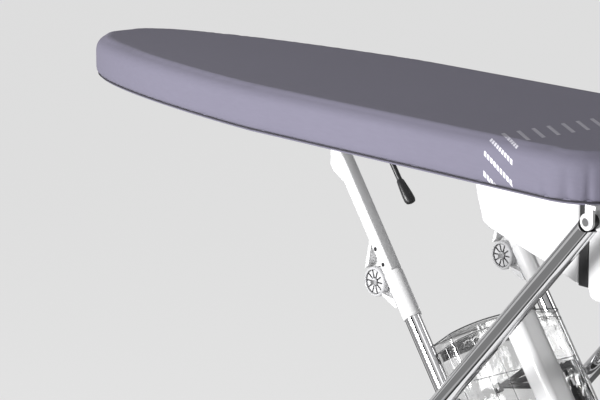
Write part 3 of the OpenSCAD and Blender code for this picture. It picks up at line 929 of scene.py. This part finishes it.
@dataclass
class InnerLegs:
    """Inner pair: square white arms, sleeves, chrome tubes, forks and wheels."""

    half: float = field(default_factory=lambda: -sum(c.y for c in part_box("a_tube_near")) / 2)
    arm: float = 0.022
    glide_up: float = 0.4459
    neck: float = 0.028
    sleeve: Point2 = (0.147, 0.226)
    hub: Point2 = (-0.043, 0.229)
    wheel_radius: float = 0.0235
    fork_y: float = 0.009

    def place(self, side: int) -> Matrix:
        """Returns the place of one leg: Z up along it, X out towards the heel."""
        return INNER_PLACE @ Matrix.Translation((0, side * self.half, 0))

    def arm_piece(self, side: int, label: str) -> None:
        """Makes one square arm with its ear and softened edges."""
        t, up, neck = self.arm, self.glide_up, self.glide_up - self.neck
        outline = [(-t / 2, self.sleeve[1]), (t / 2, self.sleeve[1]), (t / 2, neck), (0.0062, up + 0.001),
                   (0.001, up + 0.006), (-0.008, up + 0.002), (-0.024, up - 0.020), (-0.024, up - 0.032),
                   (-t / 2, up - 0.060)]
        shape = Shape().prism(outline, t).bevel(0.0026, 3)
        shape.move(self.place(side))
        shape.keep(f"square_arm_{label}", WHITE, Body.INNER, f"a_arm_{label}")

    def sleeve_piece(self, side: int, label: str) -> None:
        """Makes one moulded sleeve with a lip at each end."""
        low, high = self.sleeve
        profile = ((0.0132, low + 0.010), (0.0132, low), (0.0145, low), (0.0151, low + 0.0008),
                   (0.0151, low + 0.004), (0.0149, low + 0.005), (0.0150, high - 0.004),
                   (0.0144, high - 0.001), (0.0125, high), (0, high))
        shape = Shape().lathe(profile, self.place(side))
        shape.keep(f"leg_sleeve_{label}", WHITE, Body.INNER, f"a_sleeve_{label}")

    def fork_piece(self, side: int, label: str) -> None:
        """Makes the cheek that carries one wheel, with a guard above and below it."""
        x, z = self.hub
        cheek = [(-0.0112, 0.290), (-0.0112, 0.227), (-0.0152, 0.225), (-0.0152, 0.172), (-0.020, 0.174),
                 (x + 0.006, z - 0.026), (x - 0.008, z - 0.008), (x - 0.008, z + 0.008)]
        shape = Shape().prism(cheek, 0.004, self.fork_y).bevel(0.0012, 2).hold()
        guard = [(-0.0112, 0.288), (-0.0112, 0.281), (x + 0.006, z + 0.0275), (x - 0.004, z + 0.0262),
                 (x - 0.003, z + 0.0285)]
        fin = [(-0.0150, 0.186), (-0.0150, 0.172), (-0.020, 0.174), (x + 0.006, z - 0.026),
               (x + 0.009, z - 0.0235)]
        for outline in (guard, fin):
            shape.prism(outline, 0.016, 0.0)
        shape.move(self.place(side))
        shape.keep(f"wheel_fork_cheek_{label}", WHITE, Body.INNER, f"wheel_fork_{label}")

    def wheel_piece(self, side: int, label: str, body: Body) -> None:
        """Makes one ten-spoke transport wheel with black marks on each face: bars that paint the shade
        between the spokes, rings that paint the shade in the recess by hub and rim, and a hub boss.
        """
        turn = Matrix.Rotation(math.radians(90), 4, "X")
        place = self.place(side) @ Matrix.Translation((self.hub[0], -0.0006, self.hub[1])) @ turn
        r, h = self.wheel_radius, 0.0065
        profile = [(0.0031, h), (0.0055, h), (0.006, h - 0.001), (0.006, 0.0035), (r - 0.004, 0.0035),
                   (r - 0.0038, h - 0.0005), (r - 0.003, h), (r - 0.001, h - 0.001), (r, h - 0.003)]
        profile += [(a, -b) for a, b in reversed(profile)]
        profile.append(profile[0])
        shape = Shape().lathe(profile, place, 60)
        shape.keep(f"transport_wheel_{label}", WHEEL_GREY, body, f"wheel_{label}")
        # Black bars between the spokes and black rings at the inner corners of the recess are painted shade.
        dark_marks = Shape()
        for face in (-1, 1):
            for i in range(10):
                spoke = Matrix.Rotation(math.radians(36 * i), 4, "Z")
                bmesh.ops.create_cube(dark_marks.bm, size=1.0, matrix=place @ spoke @ Matrix.Translation(
                    (0.0125, 0, face * 0.0036)) @ Matrix.Diagonal((0.0128, 0.0019, 0.0012, 1)))
            for inner, outer in ((0.0061, 0.0070), (r - 0.0054, r - 0.0044)):
                ring = ((inner, face * 0.0033), (inner, face * 0.0039), (outer, face * 0.0039),
                        (outer, face * 0.0033), (inner, face * 0.0033))
                dark_marks.hold().lathe(ring, place, 48)
            boss = place @ Matrix.Translation((0, 0, face * 0.0066 - 0.0008))
            dark_marks.hold().rod(0.0030, 0.0016, boss, None, 24)
        dark_marks.keep(f"wheel_painted_shade_{label}", BLACK, body)

    def make(self) -> None:
        """Builds the inner legs."""
        sides = ((NEAR, "near", Body.NEAR_WHEEL), (FAR, "far", Body.FAR_WHEEL))
        for side, label, body in sides:
            self.arm_piece(side, label)
            self.sleeve_piece(side, label)
            self.fork_piece(side, label)
            self.wheel_piece(side, label, body)
        dress(INNER_CHROME, "a_tube_near", "a_tube_far", "a_foot_bar")
        dress(CHROME, "wheel_axles", "cradle_bolts")
        dress(BLACK_METAL, "arm_rivets")
        dress(WHITE, "a_glides", "cross_bushes")
        dress(RUBBER, "a_foot_caps")


@dataclass
class TankUnit:
    """Clear tank, centre column and boiler case between the inner legs."""

    depth: float = 0.050
    width: float = field(default_factory=lambda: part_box("tank")[1].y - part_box("tank")[0].y)
    corner: float = 0.008
    top: float = 0.098
    height: float = 0.235
    mid: float = 0.016
    wall: float = 0.0025
    arch: float = 0.012
    cap_up: float = 0.101
    boiler_top: float = -0.205
    boiler_height: float = 0.205
    column_top: float = 0.0935
    column_size: Point2 = (0.041, 0.049)
    column_out: float = 0.072

    def rise(self, y: float) -> float:
        """Returns how far the arched rim stands above its corners."""
        return self.arch * (1 - (2 * y / self.width) ** 2)

    def tank_body(self) -> None:
        """Makes the clear tank with an arched top and even walls."""
        low = self.top - self.height
        shape = Shape().block((self.depth, self.width, self.height - 0.002),
                              (self.mid, 0, low + (self.height - 0.002) / 2))
        shape.bevel(self.corner, 5, upright)
        for i in range(-6, 7):
            shape.cut((0, i * self.width / 14, 0), (0, 1, 0))
        top_z = self.top - 0.002
        for vert in shape.bm.verts:
            if vert.co.z > top_z - 1e-5:
                vert.co.z += self.rise(vert.co.y)
        rim = {e for e in shape.bm.edges if all(v.co.z > top_z - 1e-5 for v in e.verts)}
        shape.bevel(0.004, 3, lambda e: e in rim and e.calc_face_angle(0) > 0.9)
        shape.bevel(0.004, 3, at_height(low))
        shape.move(INNER_PLACE)
        made = shape.piece("clear_tank", CLEAR)
        add_modifier(made, "SOLIDIFY", thickness=self.wall, offset=-1.0)
        settle(made, Body.TANK, CLEAR.slot, "tank")

    def ring(self, drop: float, grow: float) -> list[Vector]:
        """Returns points round the tank, below its arched rim.

        Args:
            drop: How far below the rim.
            grow: How far outside the wall.

        Returns:
            Points in the leg's own axes.
        """
        half_d, half_w = self.depth / 2 + grow, self.width / 2 + grow
        r = self.corner
        points = []
        for sx, sy, start in ((1, 1, 0), (-1, 1, 90), (-1, -1, 180), (1, -1, 270)):
            for step in range(5):
                a = math.radians(start + 22.5 * step)
                points.append((sx * (half_d - r) + r * math.cos(a), sy * (half_w - r) + r * math.sin(a)))
        full = []
        for first, second in zip(points, points[1:] + points[:1]):
            count = max(1, int(math.dist(first, second) / 0.012))
            dx, dy = second[0] - first[0], second[1] - first[1]
            full += [(first[0] + dx * i / count, first[1] + dy * i / count) for i in range(count)]
        return [INNER_PLACE @ Vector((self.mid + x, y, self.top - drop + self.rise(y))) for x, y in full]

    def tank_lines(self) -> None:
        """Makes the rim gasket, the parting line and thin dark lines on the walls that are painted
        reflections.
        """
        for name, drop, radius in (("tank_rim_gasket", 0.0010, 0.0011), ("tank_lid_seam", 0.0150, 0.0006)):
            line = sweep(name, self.ring(drop, 0.0003), radius, RIM_AND_REFLECTION_DARK, True)
            settle(line, Body.TANK, RIM_AND_REFLECTION_DARK.slot)
        rings = ((0.016, -0.0028), (0.0175, -0.0034), (0.029, -0.0034), (0.0305, -0.0028))
        skirt = Shape().skin(self.ring(drop, grow) for drop, grow in rings)
        made = skirt.keep("tank_lid_skirt", SKIRT, Body.TANK)
        add_modifier(made, "SOLIDIFY", thickness=0.0008, offset=-1.0)
        front = self.mid + self.depth / 2 + 0.0002
        side = -self.width / 2 - 0.0002
        below, foot = self.top - 0.016, self.top - 0.225
        # Thin dark rods on the front and near side walls paint the dark reflection lines of the clear
        # plastic.
        dark_marks = [((front, y, below + self.rise(y)), (front, y, foot)) for y in (-0.078, -0.042, 0.050, 0.104)]
        dark_marks += [((front, -0.110, z), (front, 0.110, z)) for z in (0.018, -0.060)]
        dark_marks += [((self.mid + 0.004, side, below), (self.mid + 0.004, side, foot))]
        shape = Shape()
        for first, second in dark_marks:
            start, along = Vector(first), Vector(second) - Vector(first)
            shape.rod(0.0005, along.length, Matrix.Translation(start) @ facing(along), None, 8)
        shape.move(INNER_PLACE)
        shape.keep("tank_painted_reflection_lines", RIM_AND_REFLECTION_DARK, Body.TANK)

    def tank_fittings(self) -> None:
        """Makes the black filters and clips inside the tank."""
        low = self.top - self.height
        shape = Shape()
        cartridges = ((0.096, low + 0.085, 0.012, 0.028), (0.096, low + 0.142, 0.0145, 0.032),
                      (0.086, low + 0.212, 0.014, 0.016), (0.060, low + 0.214, 0.010, 0.016),
                      (0.098, low + 0.020, 0.013, 0.050))
        for y, z, radius, tall in cartridges:
            place = Matrix.Translation((self.mid, y, z))
            rim, neck = radius * 0.86, radius * 0.9
            profile = ((0, 0), (rim, 0), (radius, 0.002), (radius, tall * 0.4), (neck, tall * 0.45),
                       (neck, tall * 0.5), (radius, tall * 0.55), (radius, tall - 0.002), (rim, tall),
                       (0, tall))
            shape.lathe(profile, place, 28)
        shape.rod(0.0028, self.height - 0.03, Matrix.Translation((self.mid, 0.098, low + 0.004)), None, 16)
        root = Matrix.Translation((self.mid, -0.046, 0.005))
        for turn in (-77, -88, -99):
            lean = Matrix.Rotation(math.radians(turn), 4, "X")
            shape.hold().rod(0.0024, 0.066, root @ lean, 0.0052, 16)
        shape.hold().rod(0.006, 0.014, Matrix.Translation((self.mid, -0.046, -0.003)), 0.005, 20)
        shape.move(INNER_PLACE)
        shape.keep("tank_filters", BLACK, Body.TANK, "float_guide")

    def cap(self) -> None:
        """Makes the tank screw cap with a wider head."""
        place = INNER_PLACE @ Matrix.Translation((self.mid, 0.070, self.cap_up))
        profile = ((0, -0.015), (0.0134, -0.015), (0.0138, -0.014), (0.0138, 0.0068), (0.0176, 0.0070),
                   (0.018, 0.008), (0.018, 0.0138), (0.0168, 0.015), (0, 0.015))
        shape = Shape().lathe(profile, place, 40)
        shape.keep("tank_screw_cap", BLACK, Body.CAP, "tank_cap")

    def column(self) -> None:
        """Makes the white centre column with rounded corners and a domed end."""
        low, high = self.boiler_top + 0.0002, self.column_top
        shape = Shape().block((*self.column_size, high - low), (self.column_out, 0, (high + low) / 2))
        shape.bevel(0.012, 6, upright)
        shape.bevel(0.007, 4, at_height(high))
        shape.move(INNER_PLACE)
        shape.keep("centre_column_shell", WHITE, Body.INNER, "centre_column")

    def boiler(self) -> None:
        """Makes the boiler case with rounded corners, a parting groove and a base."""
        low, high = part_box("boiler_case")
        wide = high.y - low.y
        z0 = self.boiler_top - self.boiler_height
        shape = Shape().block((0.120, wide, self.boiler_height), (0.036, 0, z0 + self.boiler_height / 2))
        shape.bevel(0.024, 6, upright)
        shape.bevel(0.008, 4, at_height(self.boiler_top))
        for z in (z0 + 0.040, z0 + 0.0425):
            shape.cut((0, 0, z), (0, 0, 1))
        groove = [f for f in shape.bm.faces if z0 + 0.040 < f.calc_center_median().z < z0 + 0.0425]
        bmesh.ops.inset_region(shape.bm, faces=groove, thickness=0.0, depth=-0.0016, use_even_offset=True)
        shape.move(INNER_PLACE)
        shape.keep("boiler_case_shell", WHITE, Body.INNER, "boiler_case")

    def make(self) -> None:
        """Builds the tank unit."""
        self.tank_body()
        self.tank_lines()
        self.tank_fittings()
        self.cap()
        self.column()
        self.boiler()
        dress(BLACK, "tank_cradle", "tank_valve", "pump")
        dress(ALUMINIUM, "boiler")


@dataclass
class Studio:
    """Pale floor, soft light, reflection cards and the camera."""

    aim: Point3 = (-0.1765, 0.0, 0.619)
    azimuth: float = 50.6
    elevation: float = 12.4
    distance: float = 4.2155
    lens: float = 150.3
    key_from: Point2 = (-4, 9)
    key_away: float = 4.6
    key_size: Point2 = (2.4, 1.0)
    key_power: float = 69
    key_spread: float = 75
    strips: tuple[tuple[float, float, float, float, float], ...] = (
        (12, 30, 1.1, 1.7, 0.0), (60, 44, 1.1, 1.3, 1.3), (113, 47, 1.0, 1.6, 0.0), (146, 41, 1.0, 1.3, 4.6),
        (-76, 3, 0.3, 1.2, 0.0), (178, 10, 1.2, 1.2, 0.10), (-128, 6, 0.6, 1.2, 0.0),
    )
    mats: tuple[tuple[float, float, float, float, float], ...] = (
        (-2.8, 1.1, -3.2, -0.62, 0.30), (-0.5, 1.1, -0.62, -0.50, 0.62), (-0.3, 1.1, -0.50, -0.42, 0.20),
        (0.0, 1.1, -0.42, -0.33, 0.0), (0.0, 1.1, -0.33, -0.02, 1.3),
        (-0.4, 1.1, 0.12, 1.1, 0.14), (-1.9, -0.5, -0.3, 1.3, 0.03),
    )

    def towards(self, azimuth: float, elevation: float) -> Vector:
        """Returns the direction from the aim to a place round it; 0 looks along +Y."""
        a, e = math.radians(azimuth), math.radians(elevation)
        return Vector((math.sin(a) * math.cos(e), -math.cos(a) * math.cos(e), math.sin(e)))

    def sheet(self, name: str, place: Matrix, shade: float, glow: float) -> bpy.types.Object:
        """Adds a matt glowing sheet to the stage.

        Args:
            name: The sheet's name.
            place: Turns and stretches a sheet of 1 m by 1 m.
            shade: How much light it returns.
            glow: How bright it is by itself.

        Returns:
            The sheet.
        """
        shape = Shape()
        bmesh.ops.create_grid(shape.bm, x_segments=1, y_segments=1, size=0.5, matrix=place)
        mesh = bpy.data.meshes.new(name)
        shape.bm.to_mesh(mesh)
        shape.bm.free()
        mesh.materials.append(Bench(name).finish(
            Base_Color=grey(shade), Roughness=1.0, Specular_IOR_Level=0.0, Emission_Color=grey(1.0),
            Emission_Strength=glow))
        made = add_object(name, mesh)
        return made

    def camera(self) -> None:
        """Adds the camera."""
        data = bpy.data.cameras.new("view")
        data.lens = self.lens
        data.sensor_width = 36
        data.clip_end = 200
        holder = add_object("view", data)
        away = self.towards(self.azimuth, self.elevation)
        holder.location = Vector(self.aim) + away * self.distance
        holder.rotation_euler = away.to_track_quat("Z", "Y").to_euler()
        bpy.context.scene.camera = holder

    def floor(self) -> None:
        """Adds the floor."""
        self.sheet("floor", Matrix.Diagonal((120, 120, 1, 1)), 0.15, 0.650)

    def key_light(self) -> None:
        """Adds a soft rectangular light that faces the board."""
        data = bpy.data.lights.new("softbox", "AREA")
        data.shape = "RECTANGLE"
        data.size, data.size_y = self.key_size
        data.energy = self.key_power
        data.spread = math.radians(self.key_spread)
        holder = add_object("softbox", data)
        aim = self.towards(*self.key_from)
        holder.location = Vector((0.1, 0, 0.6)) + aim * self.key_away
        holder.rotation_euler = aim.to_track_quat("Z", "Y").to_euler()

    def card(self, name: str, place: Matrix, size: Point2, level: float, shades: bool = False) -> None:
        """Adds a card that only reflections see.

        Args:
            name: The card's name.
            place: Where its middle goes; it lies in its own XY plane.
            size: Its width and height.
            level: How bright it is.
            shades: Whether it also keeps soft light off the board.
        """
        made = self.sheet(name, place @ Matrix.Diagonal((*size, 1, 1)), 0.0, level)
        made.visible_camera = made.visible_transmission = False
        made.visible_diffuse = made.visible_shadow = shades

    def reflections(self) -> None:
        """Adds the upright and lying cards."""
        for number, (azimuth, elevation, width, height, level) in enumerate(self.strips):
            aim = self.towards(azimuth, elevation)
            place = Matrix.Translation(Vector((0.3, 0, 0.6)) + aim * 3.0) @ facing(aim)
            self.card(f"card_up_{number}", place, (width, height), level)
        aim = self.towards(108, 20)
        place = Matrix.Translation(Vector((0.3, 0, 0.7)) + aim * 3.3) @ facing(aim)
        self.card("dark_flag", place, (6.0, 4.4), 0.04, True)
        for number, (x0, x1, y0, y1, level) in enumerate(self.mats):
            place = Matrix.Translation(((x0 + x1) / 2, (y0 + y1) / 2, 0.004))
            self.card(f"card_low_{number}", place, (x1 - x0, y1 - y0), level)

    def world(self) -> None:
        """Sets an even pale surround and plain colour handling."""
        world = bpy.data.worlds.new("surround")
        world.use_nodes = True
        back = world.node_tree.nodes["Background"]
        back.inputs["Color"].default_value = grey(1.0)
        back.inputs["Strength"].default_value = 0.52
        bpy.context.scene.world = world
        bpy.context.scene.view_settings.view_transform = "Standard"

    def make(self) -> None:
        """Builds the studio."""
        self.camera()
        self.floor()
        self.world()
        self.key_light()
        self.reflections()


def main() -> None:
    """Builds every sub-assembly in order and finishes the scene."""
    logging.basicConfig(level=logging.INFO, format="%(relativeCreated)6d ms %(name)s: %(message)s")
    for part in (Studio, BoardTop, BlowerCase, HeightLever, OuterLegs, InnerLegs, TankUnit):
        builder = part()
        builder.make()
        LOG.info("made %s", type(builder).__name__)


if __name__ == "__main__":
    main()
